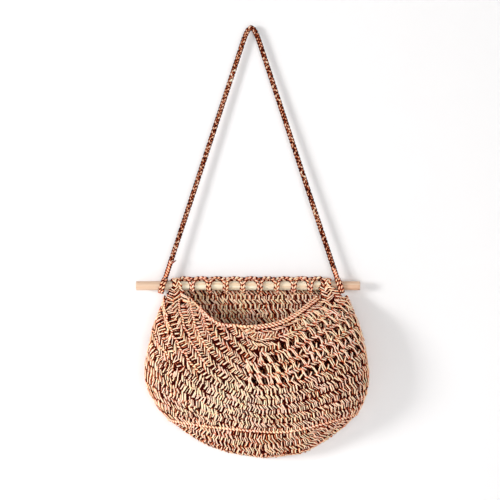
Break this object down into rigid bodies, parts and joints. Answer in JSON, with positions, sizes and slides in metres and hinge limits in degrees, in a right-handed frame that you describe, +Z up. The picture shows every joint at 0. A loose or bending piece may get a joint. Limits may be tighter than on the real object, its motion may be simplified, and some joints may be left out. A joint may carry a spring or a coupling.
{
  "type": "hanging fruit basket",
  "caption": "Crocheted twine pouch with a flat back and an open scooped mouth, looped to a wooden rod that hangs from a cord; holds fruit against a wall.",
  "frame": {"origin": "underside of the hanging cord where it rests on its hook, in the plane of the cord and the rod's axis", "axes": "+X along the rod to the right as seen from the front, +Y into the wall, +Z up"},
  "size_m": [0.3117, 0.0918, 0.5811],
  "materials": {
    "jute_fabric": "rough crocheted jute twine",
    "jute_cord": "rough chained jute twine",
    "wood": "bare sanded wood"
  },
  "bodies": {
    "hanger": {"hanging_cord": "jute_cord", "left_cord_eye": "jute_cord", "right_cord_eye": "jute_cord", "left_cord_splice": "jute_cord", "right_cord_splice": "jute_cord"},
    "basket": {"back_panel": "jute_fabric", "pouch_edging": "jute_fabric", "pouch_mesh_band": "jute_fabric", "pouch_wall": "jute_fabric", "pouch_base": "jute_fabric", "top_edge_chain": "jute_fabric", "left_corner_tab": "jute_fabric", "right_corner_tab": "jute_fabric", "rod_loop_01": "jute_fabric", "rod_loop_02": "jute_fabric", "rod_loop_03": "jute_fabric", "rod_loop_04": "jute_fabric", "rod_loop_05": "jute_fabric", "rod_loop_06": "jute_fabric", "rod_loop_07": "jute_fabric", "rod_loop_08": "jute_fabric"},
    "rod": {"rod": "wood"}
  },
  "joints": [
    {"name": "basket_swing", "type": "hinge", "parent": "hanger", "child": "basket", "pos_m": [0, 0, -0.344], "axis": [-1, 0, 0], "range_deg": [0, 60]},
    {"name": "rod_slide", "type": "slide", "parent": "basket", "child": "rod", "axis": [1, 0, 0], "range_m": [-0.018, 0.026]}
  ]
}
